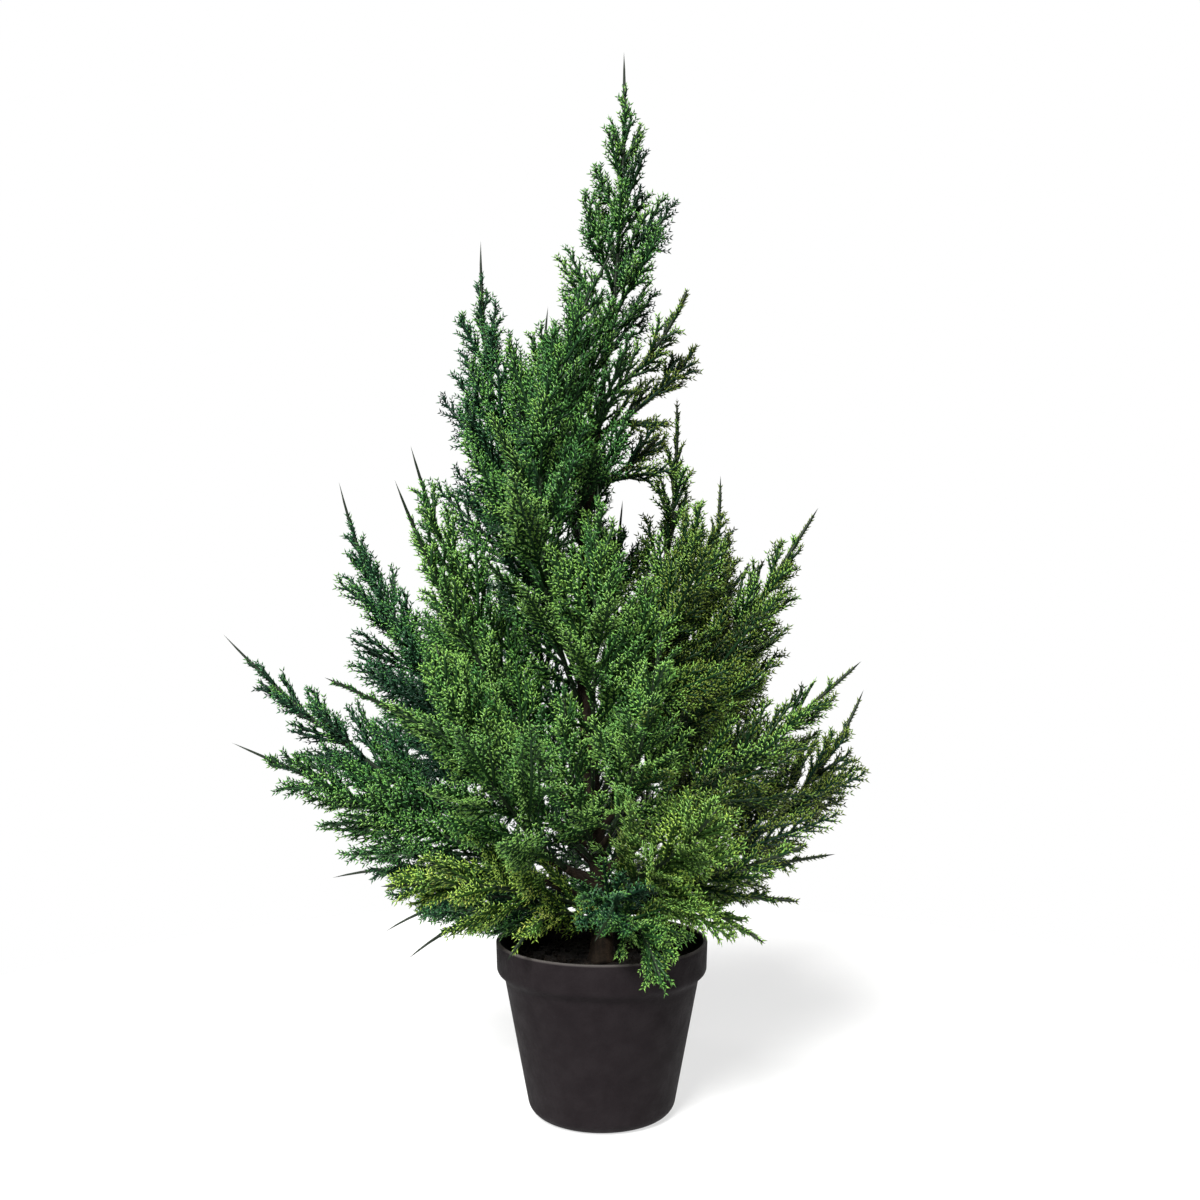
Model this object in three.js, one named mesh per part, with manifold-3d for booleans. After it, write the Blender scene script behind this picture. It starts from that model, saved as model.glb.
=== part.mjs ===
// A potted artificial cedar about 610 mm tall: a dark plastic pot with a firm fill, one slim trunk,
// boughs that rise from it, and plumes of flat, toothed foliage. Millimetres, +Z up.
// The origin is the middle of the pot's underside and -Y is the front.

import * as THREE from "three";
import { mergeVertices } from "three/addons/utils/BufferGeometryUtils.js";
import Module from "manifold-3d";

const wasm = await Module();
wasm.setup();

// Clear space left between neighbouring pieces
const GAP = 0.3;

// Pot
const POT_HEIGHT = 96;
const POT_SIDES = 40;
const RIM_RADIUS = 60;
const RIM_HEIGHT = 16.5;
const RIM_DRAFT = 0.6;
const STEP_HEIGHT = 4;
const WALL_TOP_RADIUS = 55;
const BASE_RADIUS = 41.3;
const BASE_ROUNDING = 8;
const WALL = 2.4;
const FLOOR = 3;
const LIP_ROUNDING = 1;
const FILL_TOP = 84;

// Trunk
const TRUNK_FOOT = FILL_TOP + GAP;
const TRUNK_TIP = 412;
const TRUNK_SIDES = 10;
const TRUNK_RINGS = 16;
const TRUNK_FOOT_RADIUS = 5.6;
const TRUNK_TIP_RADIUS = 2;
const ROOT_FLARE = 3;
const ROOT_FLARE_HEIGHT = 9;
const CROWN_TOP = 609;
const CROWN_LEAN = 13;
const CROWN_BOW = 13;
const CROWN_BOW_SHARE = 0.78;

// Boughs and the stems of the sprays
const BOUGH_SHARE = 0.16;
const BOUGH_ROOT_RADIUS = 2.4;
const BOUGH_TIP_RADIUS = 1.6;
const BOUGH_SIDES = 6;
const BOUGH_RINGS = 5;
const STEM_TIP_RADIUS = 0.6;
const STEM_SIDES = 3;
const CURVE_SAMPLES = 48;

// Laterals, the flat side branches of a spray
const LATERAL_SPACING = 8;
const LATERAL_SHORTEST = 7;
const LATERAL_BEND = 0.15;
const BARE_FOOT = 0.06;
const BARE_SPIKE = 22;
const GOLDEN_TURN = 2.39996;
const TURN_SPREAD = 0.35;
const OPEN_LOW = 40;
const OPEN_HIGH = 22;
const OPEN_SPREAD = 0.1;
const SHORTENINGS = [1, 0.86, 0.72, 0.58, 0.44, 0.3];

// The core of a lateral has a step for each of these lengths that it reaches
const STEP_LENGTHS = [23, 48];
const CORE_SHARE = 0.95;
const CORE_HALF_WIDTH = 1.6;
const CORE_HALF_THICKNESS = 0.6;

// Teeth, the twigs of a lateral
const TOOTH_ANGLE = 0.54;
const TOOTH_LONGEST = 24;
const TOOTH_SHARES = [1, 0.75, 0.5, 0.25];

// Each spray keeps this far inside its own space
const SPACE_MARGIN = 1.5;
const TRUNK_MARGIN = 2;
const POT_MARGIN = 2.5;

const matte = (color, roughness) =>
  new THREE.MeshStandardMaterial({ color, roughness, metalness: 0 });
const POT_PLASTIC = matte(0x2b2727, 0.55);
const FILL_DARK = matte(0x15120f, 0.95);
const BARK = matte(0x2e2018, 0.85);
const DEEP = matte(0x1f4a30, 0.6);
const GREEN = matte(0x2c5c2c, 0.6);
const BRIGHT = matte(0x3c7430, 0.6);
const YELLOW = matte(0x5f842c, 0.6);

// A spray leaves the trunk at the height `foot` and ends at `reach` from the axis, at the height `tip`.
// Azimuths run from +X towards +Y. `bow` and `sway` bend the stem outwards and sideways, as shares of
// its chord, `width` is the length of its longest lateral, and `spike` the bare end of the stem.
const sprays = [];
const spray = (name, tint, sizes) =>
  sprays.push({ name, tint, bow: 0, sway: 0, roll: 0, spike: BARE_SPIKE, ...sizes });

const LEADER_FOOT = TRUNK_TIP + 1.5 * GAP;
spray("leader", GREEN, {
  az: 0,
  foot: LEADER_FOOT,
  reach: CROWN_LEAN,
  tip: CROWN_TOP,
  bow: 0.02,
  width: 72,
  roll: 0.3,
});
spray("upper_right", GREEN, {
  az: 350,
  foot: 404,
  reach: 50,
  tip: 467,
  bow: 0.08,
  width: 28,
  roll: 5.4,
  spike: 4,
});
spray("upper_right_low", DEEP, {
  az: 12,
  foot: 384,
  reach: 58,
  tip: 440,
  bow: 0.06,
  width: 40,
  roll: 2.3,
  spike: 4,
});
spray("mid_right", DEEP, {
  az: 350,
  foot: 352,
  reach: 34,
  tip: 384,
  bow: 0.06,
  width: 50,
  roll: 1.6,
  spike: 4,
});
spray("upper_left", DEEP, { az: 172, foot: 238, reach: 72, tip: 501, bow: 0.06, width: 99, roll: 2.5 });
spray("upper_mid", GREEN, {
  az: 285,
  foot: 222,
  reach: 41,
  tip: 487,
  bow: 0.08,
  sway: -0.15,
  width: 103,
  roll: 3.8,
});
spray("upper_front", GREEN, {
  az: 250,
  foot: 318,
  reach: 30,
  tip: 462,
  bow: 0.08,
  width: 96,
  roll: 0.8,
  spike: 6,
});
spray("upper_back", GREEN, { az: 135, foot: 318, reach: 46, tip: 468, bow: 0.1, width: 112, roll: 6.2 });
spray("inner_left", DEEP, { az: 155, foot: 178, reach: 40, tip: 330, bow: 0.1, width: 50, roll: 1.7 });
spray("left_mid", GREEN, {
  az: 203,
  foot: 136,
  reach: 158,
  tip: 246,
  bow: -0.05,
  width: 32,
  roll: 3.9,
  spike: 6,
});
spray("left_droop", DEEP, { az: 178, foot: 106, reach: 155, tip: 129, bow: -0.1, width: 81, roll: 2.3 });
spray("left_skirt", GREEN, { az: 206, foot: 102, reach: 114, tip: 97, bow: -0.16, width: 48, roll: 3.9 });
spray("left_skirt_back", DEEP, {
  az: 185,
  foot: 97,
  reach: 122,
  tip: 102,
  bow: -0.17,
  width: 82,
  roll: 3.8,
});
spray("left_low_front", YELLOW, {
  az: 214,
  foot: 110,
  reach: 136,
  tip: 140,
  bow: -0.05,
  width: 75,
  roll: 5.5,
  spike: 6,
});
spray("front_left_skirt", YELLOW, {
  az: 232,
  foot: 94,
  reach: 80,
  tip: 99,
  bow: -0.25,
  width: 34,
  roll: 1.6,
  spike: 6,
});
spray("front_inner", BRIGHT, {
  az: 250,
  foot: 138,
  reach: 60,
  tip: 246,
  bow: 0.1,
  width: 54,
  roll: 5.6,
  spike: 6,
});
spray("front_mid", BRIGHT, {
  az: 304,
  foot: 190,
  reach: 44,
  tip: 304,
  bow: 0.1,
  width: 73,
  roll: 5.5,
  spike: 6,
});
spray("front_tall", BRIGHT, { az: 268, foot: 176, reach: 57, tip: 348, bow: 0.1, width: 94, spike: 8 });
spray("front_arch", DEEP, {
  az: 268,
  foot: 112,
  reach: 110,
  tip: 120,
  bow: -0.1,
  sway: 0.08,
  width: 64,
  roll: 3.1,
});
spray("front_skirt", BRIGHT, {
  az: 291,
  foot: 94,
  reach: 90,
  tip: 86,
  bow: -0.27,
  width: 66,
  roll: 0.8,
  spike: 6,
});
spray("front_right", YELLOW, {
  az: 297,
  foot: 124,
  reach: 123,
  tip: 184,
  bow: 0.06,
  width: 104,
  roll: 5.5,
  spike: 6,
});
spray("right_droop", YELLOW, {
  az: 325,
  foot: 101,
  reach: 104,
  tip: 107,
  bow: -0.16,
  width: 43,
  roll: 4.7,
  spike: 6,
});
spray("right_skirt", GREEN, {
  az: 346,
  foot: 107,
  reach: 112,
  tip: 122,
  bow: -0.06,
  width: 29,
  roll: 3.1,
  spike: 6,
});
spray("right_low_front", GREEN, {
  az: 333,
  foot: 114,
  reach: 122,
  tip: 158,
  bow: 0.02,
  width: 52,
  roll: 3.1,
  spike: 6,
});
spray("right_flat", DEEP, { az: 6, foot: 113, reach: 137, tip: 141, bow: -0.02, width: 45, roll: 0.8 });
spray("right_inner", GREEN, {
  az: 338,
  foot: 206,
  reach: 58,
  tip: 344,
  bow: 0.1,
  width: 110,
  roll: 5.5,
  spike: 6,
});
spray("right_mid", DEEP, { az: 29, foot: 142, reach: 83, tip: 366, bow: 0.09, width: 110, roll: 1.6 });
spray("right_tall", GREEN, {
  az: 24,
  foot: 166,
  reach: 49,
  tip: 410,
  bow: 0.06,
  width: 68,
  roll: 3.2,
  spike: 10,
});
spray("back_low", DEEP, { az: 90, foot: 106, reach: 160, tip: 160, bow: 0, width: 127, roll: 0.7 });
spray("back_inner", DEEP, { az: 75, foot: 240, reach: 50, tip: 352, bow: 0.1, width: 82, roll: 3.2 });
spray("back_tall", DEEP, { az: 95, foot: 230, reach: 55, tip: 455, bow: 0.1, width: 53, roll: 4.8 });
spray("back_skirt_left", DEEP, {
  az: 138,
  foot: 106,
  reach: 130,
  tip: 124,
  bow: -0.1,
  width: 56,
  roll: 0.8,
});
spray("back_skirt_right", DEEP, {
  az: 50,
  foot: 106,
  reach: 125,
  tip: 124,
  bow: -0.1,
  width: 52,
  roll: 3.9,
});

const bough = (name, tint, sizes) => spray(name, tint, { ...sizes, bough: true });
bough("left_high", BRIGHT, { az: 196, foot: 168, reach: 110, tip: 373, bow: 0.05, width: 92, roll: 2.5 });
bough("left_broad", BRIGHT, { az: 209, foot: 152, reach: 125, tip: 350, bow: 0.04, width: 53, roll: 4.5 });
bough("left_rise", DEEP, { az: 174, foot: 146, reach: 156, tip: 359, bow: 0.1, width: 84, roll: 1.6 });
bough("left_far", DEEP, { az: 178, foot: 128, reach: 220, tip: 269, bow: 0.06, width: 76, roll: 0.7 });
bough("left_low", GREEN, { az: 191, foot: 114, reach: 204, tip: 210, width: 93 });
bough("front_left", BRIGHT, {
  az: 226,
  foot: 122,
  reach: 121,
  tip: 265,
  bow: 0.1,
  width: 112,
  roll: 3.1,
  spike: 8,
});
bough("front_rise", BRIGHT, {
  az: 285,
  foot: 144,
  reach: 112,
  tip: 270,
  bow: 0.1,
  width: 70,
  roll: 3.1,
  spike: 8,
});
bough("right_low", DEEP, { az: 12, foot: 123, reach: 161, tip: 236, bow: 0.15, width: 90, roll: 2.4 });
bough("right_far", GREEN, { az: 350, foot: 131, reach: 146, tip: 254, bow: 0.01, width: 83, roll: 1.6 });
bough("right_out", GREEN, { az: 0, foot: 154, reach: 125, tip: 342, bow: 0.01, width: 88, roll: 4.7 });
bough("back_left", DEEP, { az: 135, foot: 136, reach: 150, tip: 300, bow: 0.1, width: 129, roll: 2.3 });
bough("back_right", DEEP, { az: 52, foot: 130, reach: 150, tip: 270, bow: 0.1, width: 129, roll: 3.9 });

// Helpers for closed bodies

function body(points, faces) {
  const geometry = new THREE.BufferGeometry();
  const positions = points.flatMap((p) => [p.x, p.y, p.z]);
  geometry.setAttribute("position", new THREE.Float32BufferAttribute(positions, 3));
  geometry.setIndex(faces);
  geometry.computeVertexNormals();
  return geometry;
}

// Flat ends for a skin over `count` rings
function closeEnds(faces, sides, count) {
  const last = (count - 1) * sides;
  for (let j = 1; j + 1 < sides; j++) {
    faces.push(0, j + 1, j);
    faces.push(last, last + j, last + j + 1);
  }
}

// A closed skin over rings that all have the same number of points
function loft(rings) {
  const sides = rings[0].length;
  const faces = [];
  for (let i = 0; i + 1 < rings.length; i++) {
    for (let j = 0; j < sides; j++) {
      const a = i * sides + j;
      const b = i * sides + ((j + 1) % sides);
      faces.push(a, b, b + sides, a, b + sides, a + sides);
    }
  }
  closeEnds(faces, sides, rings.length);
  return body(rings.flat(), faces);
}

function turned(profile) {
  const points = profile.map(([r, z]) => new THREE.Vector2(r, z));
  return new THREE.LatheGeometry(points, POT_SIDES).rotateX(Math.PI / 2);
}

function toSolid(geometry) {
  const bare = geometry.clone();
  bare.deleteAttribute("normal");
  bare.deleteAttribute("uv");
  const merged = mergeVertices(bare);
  const vertProperties = merged.attributes.position.array;
  const triVerts = new Uint32Array(merged.index.array);
  return new wasm.Manifold(new wasm.Mesh({ numProp: 3, vertProperties, triVerts }));
}

function toGeometry(solid) {
  const mesh = solid.getMesh();
  const geometry = new THREE.BufferGeometry();
  geometry.setAttribute("position", new THREE.BufferAttribute(mesh.vertProperties, 3));
  geometry.setIndex(new THREE.BufferAttribute(mesh.triVerts, 1));
  geometry.computeVertexNormals();
  return geometry;
}

// Fusing can leave loose scraps and sealed hollows, and the largest piece has neither
function largest(solid) {
  return solid.decompose().sort((a, b) => b.volume() - a.volume())[0];
}

function add(name, geometry, material) {
  const mesh = new THREE.Mesh(geometry, material);
  mesh.name = name;
  plant.add(mesh);
}

const plant = new THREE.Group();
plant.name = "potted_cedar";

// Pot and fill

const wallTop = POT_HEIGHT - RIM_HEIGHT - STEP_HEIGHT;
const rimFoot = POT_HEIGHT - RIM_HEIGHT;

function arc(centreR, centreZ, radius, from, to, steps) {
  const points = [];
  for (let i = 0; i <= steps; i++) {
    const angle = from + ((to - from) * i) / steps;
    points.push([centreR + radius * Math.cos(angle), centreZ + radius * Math.sin(angle)]);
  }
  return points;
}

// Radius of the pot's inner face at a height
function innerRadius(z) {
  const wallShare = (Math.min(z, wallTop) - BASE_ROUNDING) / (wallTop - BASE_ROUNDING);
  const stepShare = Math.min(Math.max((z - wallTop) / STEP_HEIGHT, 0), 1);
  const wall = BASE_RADIUS + (WALL_TOP_RADIUS - BASE_RADIUS) * wallShare;
  return wall + (RIM_RADIUS - RIM_DRAFT - WALL_TOP_RADIUS) * stepShare - WALL;
}

add(
  "pot",
  turned([
    [0, 0],
    ...arc(BASE_RADIUS - BASE_ROUNDING, BASE_ROUNDING, BASE_ROUNDING, -Math.PI / 2, 0, 5),
    [WALL_TOP_RADIUS, wallTop],
    [RIM_RADIUS - RIM_DRAFT, rimFoot],
    ...arc(RIM_RADIUS - LIP_ROUNDING, POT_HEIGHT - LIP_ROUNDING, LIP_ROUNDING, 0, Math.PI / 2, 2),
    [RIM_RADIUS - WALL, POT_HEIGHT],
    [innerRadius(rimFoot), rimFoot],
    [innerRadius(wallTop), wallTop],
    [innerRadius(FLOOR), FLOOR],
    [0, FLOOR],
  ]),
  POT_PLASTIC,
);

const fillFoot = FLOOR + GAP;
add(
  "pot_fill",
  turned([
    [0, fillFoot],
    [innerRadius(fillFoot) - GAP, fillFoot],
    [innerRadius(wallTop) - GAP, wallTop],
    [innerRadius(rimFoot) - GAP, rimFoot],
    [innerRadius(rimFoot) - GAP, FILL_TOP],
    [0, FILL_TOP],
  ]),
  FILL_DARK,
);

// Trunk

function trunkPoint(z) {
  const share = (z - FILL_TOP) / (CROWN_TOP - FILL_TOP);
  const wave = Math.sin((Math.PI * Math.min(share, CROWN_BOW_SHARE)) / CROWN_BOW_SHARE);
  return new THREE.Vector3(CROWN_LEAN * share * share - CROWN_BOW * wave * wave, 0, z);
}

function trunkRadius(z) {
  const height = z - FILL_TOP;
  const taper = (TRUNK_FOOT_RADIUS - TRUNK_TIP_RADIUS) / (TRUNK_TIP - FILL_TOP);
  return TRUNK_FOOT_RADIUS - taper * height + ROOT_FLARE * Math.exp(-height / ROOT_FLARE_HEIGHT);
}

// Rings crowd towards the foot, where the root flare bends
function trunkBody(extra, from, to) {
  const rings = [];
  for (let i = 0; i < TRUNK_RINGS; i++) {
    const z = from + (to - from) * Math.pow(i / (TRUNK_RINGS - 1), 1.7);
    const centre = trunkPoint(z);
    const radius = trunkRadius(z) + extra;
    const ring = [];
    for (let j = 0; j < TRUNK_SIDES; j++) {
      const angle = (2 * Math.PI * j) / TRUNK_SIDES;
      const offset = new THREE.Vector3(radius * Math.cos(angle), radius * Math.sin(angle), 0);
      ring.push(offset.add(centre));
    }
    rings.push(ring);
  }
  return loft(rings);
}

add("trunk", trunkBody(0, TRUNK_FOOT, TRUNK_TIP), BARK);
const trunkRoom = toSolid(trunkBody(GAP, TRUNK_FOOT - GAP, TRUNK_TIP + GAP));

// Stems of the sprays

function stemOf(sizes) {
  const azimuth = THREE.MathUtils.degToRad(sizes.az);
  const side = new THREE.Vector3(-Math.sin(azimuth), Math.cos(azimuth), 0);
  const foot = trunkPoint(sizes.foot);
  const tip = new THREE.Vector3(Math.cos(azimuth), Math.sin(azimuth), 0).multiplyScalar(sizes.reach);
  tip.z = sizes.tip;
  const chord = tip.clone().sub(foot);
  const sag = side.clone().cross(chord).normalize();
  if (sag.z > 0) sag.negate();
  const bend = sag.multiplyScalar(sizes.bow).addScaledVector(side, sizes.sway);
  const middle = foot.clone().addScaledVector(chord, 0.5).addScaledVector(bend, 2 * chord.length());
  const curve = new THREE.QuadraticBezierCurve3(foot, middle, tip);
  const rootRadius = sizes.bough ? BOUGH_ROOT_RADIUS : BOUGH_TIP_RADIUS;
  const radiusAt = (t) => {
    if (!sizes.bough) return rootRadius + (STEM_TIP_RADIUS - rootRadius) * t;
    if (t < BOUGH_SHARE) return rootRadius + ((BOUGH_TIP_RADIUS - rootRadius) * t) / BOUGH_SHARE;
    const beyond = (t - BOUGH_SHARE) / (1 - BOUGH_SHARE);
    return BOUGH_TIP_RADIUS + (STEM_TIP_RADIUS - BOUGH_TIP_RADIUS) * beyond;
  };
  const samples = [];
  for (let i = 0; i <= CURVE_SAMPLES; i++) {
    const t = i / CURVE_SAMPLES;
    samples.push({ point: curve.getPoint(t), radius: radiusAt(t) });
  }
  return { ...sizes, side, curve, radiusAt, samples, length: curve.getLength() };
}

// Two directions square to a tangent, the first as near to `side` as can be
function across(tangent, side) {
  const u = side.clone().addScaledVector(tangent, -side.dot(tangent)).normalize();
  return [u, tangent.clone().cross(u)];
}

function ringOn(stem, t, sides) {
  const [u, v] = across(stem.curve.getTangent(t), stem.side);
  const centre = stem.curve.getPoint(t);
  const radius = stem.radiusAt(t);
  const ring = [];
  for (let j = 0; j < sides; j++) {
    const angle = (2 * Math.PI * j) / sides;
    const offset = u.clone().multiplyScalar(radius * Math.cos(angle));
    ring.push(offset.addScaledVector(v, radius * Math.sin(angle)).add(centre));
  }
  return ring;
}

function limb(stem, from, to, sides, ringCount) {
  const rings = [];
  for (let i = 0; i < ringCount; i++) {
    rings.push(ringOn(stem, from + ((to - from) * i) / (ringCount - 1), sides));
  }
  return loft(rings);
}

const stems = sprays.map(stemOf);
const trunkSamples = [];
for (let z = FILL_TOP; z <= TRUNK_TIP; z += 5) {
  trunkSamples.push({ point: trunkPoint(z), radius: trunkRadius(z) });
}

// Distance from a point to the surface of a sampled limb
function clearance(point, samples) {
  return Math.min(...samples.map((s) => s.point.distanceTo(point) - s.radius));
}

// Whether a point lies in the space of its own spray: nearer to that stem than to any other,
// clear of the trunk, and out of the pot's rim
function inOwnSpace(own, point) {
  const overPot = Math.hypot(point.x, point.y) < RIM_RADIUS + POT_MARGIN;
  if (overPot && point.z < POT_HEIGHT + POT_MARGIN) return false;
  if (clearance(point, trunkSamples) < TRUNK_MARGIN) return false;
  const room = Math.min(...own.samples.map((s) => s.point.distanceTo(point))) + SPACE_MARGIN;
  return stems.every((stem) => stem === own || clearance(point, stem.samples) >= room);
}

// Foliage

function drawsFrom(seed) {
  let state = Math.imul(seed, 2654435761) >>> 0;
  const draw = () => {
    state = (Math.imul(state, 1664525) + 1013904223) >>> 0;
    return state / 4294967296;
  };
  draw();
  draw();
  return draw;
}

// Where the foliage of a spray starts and ends along its stem, and how many laterals it carries
function foliageOf(stem) {
  let start = BARE_FOOT;
  if (stem.bough) start = BOUGH_SHARE + 0.02;
  if (stem.name === "leader") start = 0.02;
  const end = 1 - stem.spike / stem.length;
  const count = Math.max(4, Math.round(((end - start) * stem.length) / LATERAL_SPACING));
  return { start, end, count };
}

// Place, heading and length of one lateral. They turn about the stem by the golden angle.
function lateralOf(stem, seed, i) {
  const { start, end, count } = foliageOf(stem);
  const draw = drawsFrom(seed * 1000 + i);
  const share = (i + 0.5) / count;
  const t = start + (end - start) * share;
  const along = stem.curve.getTangent(t);
  const [u, v] = across(along, stem.side);
  const turn = stem.roll + i * GOLDEN_TURN + (2 * draw() - 1) * TURN_SPREAD;
  const open = THREE.MathUtils.degToRad(OPEN_LOW + (OPEN_HIGH - OPEN_LOW) * share);
  const angle = open + (2 * draw() - 1) * OPEN_SPREAD;
  const shape = Math.pow(1 - share, 0.8) * Math.min(1, 0.7 + 1.6 * share);
  const length = Math.max(stem.width * shape * (0.84 + 0.32 * draw()), LATERAL_SHORTEST);
  const out = u.multiplyScalar(Math.cos(turn)).addScaledVector(v, Math.sin(turn));
  return { root: stem.curve.getPoint(t), along, out, turn, angle, length };
}

function heading(lateral, angle) {
  const forward = lateral.along.clone().multiplyScalar(Math.cos(angle));
  return forward.addScaledVector(lateral.out, Math.sin(angle));
}

// Axis of a lateral: it opens from the stem and bends back towards it
function axisOf(lateral, length) {
  const middle = lateral.root.clone().addScaledVector(heading(lateral, lateral.angle), length / 2);
  const closed = heading(lateral, Math.max(lateral.angle - LATERAL_BEND, 0.15));
  const end = middle.clone().addScaledVector(closed, length / 2);
  return new THREE.QuadraticBezierCurve3(lateral.root, middle, end);
}

// Tip of the tooth that springs from a lateral's axis at `share`, on its outer or its inner edge.
// It is shortened until it fits the spray's own space.
function toothTip(own, lateral, axis, length, share, outer) {
  const forward = axis.getTangent(share);
  const normal = lateral.along.clone().cross(lateral.out).normalize();
  const aside = normal.cross(forward).multiplyScalar(outer ? 1 : -1);
  const angle = outer ? TOOTH_ANGLE : Math.min(TOOTH_ANGLE, 0.7 * lateral.angle);
  const reach = Math.min(0.45 * length * (1 - share) + 7, TOOTH_LONGEST);
  const sweep = forward.multiplyScalar(Math.cos(angle)).addScaledVector(aside, Math.sin(angle));
  const base = axis.getPoint(share);
  const at = (distance) => base.clone().addScaledVector(sweep, distance);
  const clear = (distance) => inOwnSpace(own, at(distance)) && inOwnSpace(own, at(distance / 2));
  const fit = TOOTH_SHARES.find((s) => clear(s * reach));
  return fit ? at(fit * reach) : null;
}

// A flat lateral on a four-cornered base: a tapering core of a few steps, a tooth on both edges of
// each step, and a pointed end. Returns its points, base first, and its faces without the base.
function lateralShape(own, lateral, base, length) {
  const axis = axisOf(lateral, length);
  const end = axis.getPoint(1);
  if (!inOwnSpace(own, axis.getPoint(0.6)) || !inOwnSpace(own, end)) return null;
  const steps = STEP_LENGTHS.filter((least) => length >= least).length;
  const normal = lateral.along.clone().cross(lateral.out).normalize();
  const points = [...base];
  const faces = [];
  for (let k = 0; k < steps; k++) {
    const share = ((k + 1) / (steps + 1)) * CORE_SHARE;
    const middle = ((k + 0.5) / (steps + 1)) * CORE_SHARE;
    const outer = toothTip(own, lateral, axis, length, middle, true);
    const inner = toothTip(own, lateral, axis, length, middle, false);
    if (!outer || !inner) return null;
    const aside = normal.clone().cross(axis.getTangent(share)).multiplyScalar(CORE_HALF_WIDTH);
    const lift = normal.clone().multiplyScalar(CORE_HALF_THICKNESS);
    const centre = axis.getPoint(share);
    points.push(outer, inner);
    points.push(centre.clone().add(aside).sub(lift), centre.clone().add(aside).add(lift));
    points.push(centre.clone().sub(aside).add(lift), centre.clone().sub(aside).sub(lift));
    const [a, b, c, d] = k === 0 ? [0, 1, 2, 3] : [0, 1, 2, 3].map((j) => 6 * k + j);
    const tip = 6 * k + 4;
    const [a2, b2, c2, d2] = [0, 1, 2, 3].map((j) => 6 * (k + 1) + j);
    faces.push(a, b, tip, b, b2, tip, b2, a2, tip, a2, a, tip);
    faces.push(c, d, tip + 1, d, d2, tip + 1, d2, c2, tip + 1, c2, c, tip + 1);
    faces.push(b, c, c2, b, c2, b2, d, a, a2, d, a2, d2);
  }
  const last = steps === 0 ? 0 : 6 * steps;
  const point = points.push(end) - 1;
  for (let j = 0; j < 4; j++) faces.push(last + j, last + ((j + 1) % 4), point);
  return { points, faces };
}

// The longest form of a lateral that keeps to its space and misses the laterals already there
function fittedLateral(own, lateral, base, others) {
  for (const share of SHORTENINGS) {
    const length = lateral.length * share;
    if (length < LATERAL_SHORTEST) return null;
    const shape = lateralShape(own, lateral, base, length);
    if (!shape) continue;
    shape.solid = toSolid(body(shape.points, [...shape.faces, 0, 3, 2, 0, 2, 1]));
    if (others.every((other) => other.solid.intersect(shape.solid).isEmpty())) return shape;
  }
  return null;
}

// One closed skin for a spray: a three-sided stem whose every step carries a lateral on one face
function sprayBody(stem, seed) {
  const { start, end, count } = foliageOf(stem);
  const from = stem.bough ? BOUGH_SHARE + GAP / stem.length : 0;
  const places = [from];
  for (let i = 0; i <= count; i++) places.push(start + ((end - start) * i) / count);
  places.push(1);
  const rings = places.map((t) => ringOn(stem, t, STEM_SIDES));
  const points = rings.flat();
  const faces = [];
  const grown = [];
  for (let i = 0; i + 1 < rings.length; i++) {
    const inFoliage = i > 0 && i <= count;
    const lateral = inFoliage ? lateralOf(stem, seed, i - 1) : null;
    const turns = lateral ? lateral.turn / (2 * Math.PI) : 0;
    const facing = Math.floor((turns - Math.floor(turns)) * STEM_SIDES);
    for (let j = 0; j < STEM_SIDES; j++) {
      const next = (j + 1) % STEM_SIDES;
      const corners = [j, next, STEM_SIDES + next, STEM_SIDES + j].map((k) => i * STEM_SIDES + k);
      const base = corners.map((k) => points[k]);
      const shape = lateral && j === facing ? fittedLateral(stem, lateral, base, grown) : null;
      if (!shape) {
        const [a, b, c, d] = corners;
        faces.push(a, b, c, a, c, d);
        continue;
      }
      const offset = points.length - 4;
      points.push(...shape.points.slice(4));
      faces.push(...shape.faces.map((k) => (k < 4 ? corners[k] : offset + k)));
      grown.push(shape);
    }
  }
  closeEnds(faces, STEM_SIDES, rings.length);
  return body(points, faces);
}

stems.forEach((stem, i) => {
  if (stem.bough) {
    const whole = toSolid(limb(stem, 0, BOUGH_SHARE, BOUGH_SIDES, BOUGH_RINGS));
    add(stem.name + "_bough", toGeometry(largest(whole.subtract(trunkRoom))), BARK);
  }
  const whole = sprayBody(stem, i + 1);
  const onTrunk = !stem.bough && stem.name !== "leader";
  const made = onTrunk ? toGeometry(largest(toSolid(whole).subtract(trunkRoom))) : whole;
  add(stem.name + "_spray", made, stem.tint);
});

export default plant;
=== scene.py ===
# %% [markdown]
# A potted artificial cedar
#
# The plant is a slim wire trunk in moulded bark, set in a dark plastic pot. Boughs rise from the
# trunk, and each of them, or the trunk itself, carries a plume of fine moulded needles.
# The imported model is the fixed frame: it says where every limb and every plume is. This script
# replaces its plain solids with pieces that have the real detail, in the same places.

import math

import bmesh
import bpy
import numpy as np
from mathutils import Matrix, Vector, noise


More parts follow.
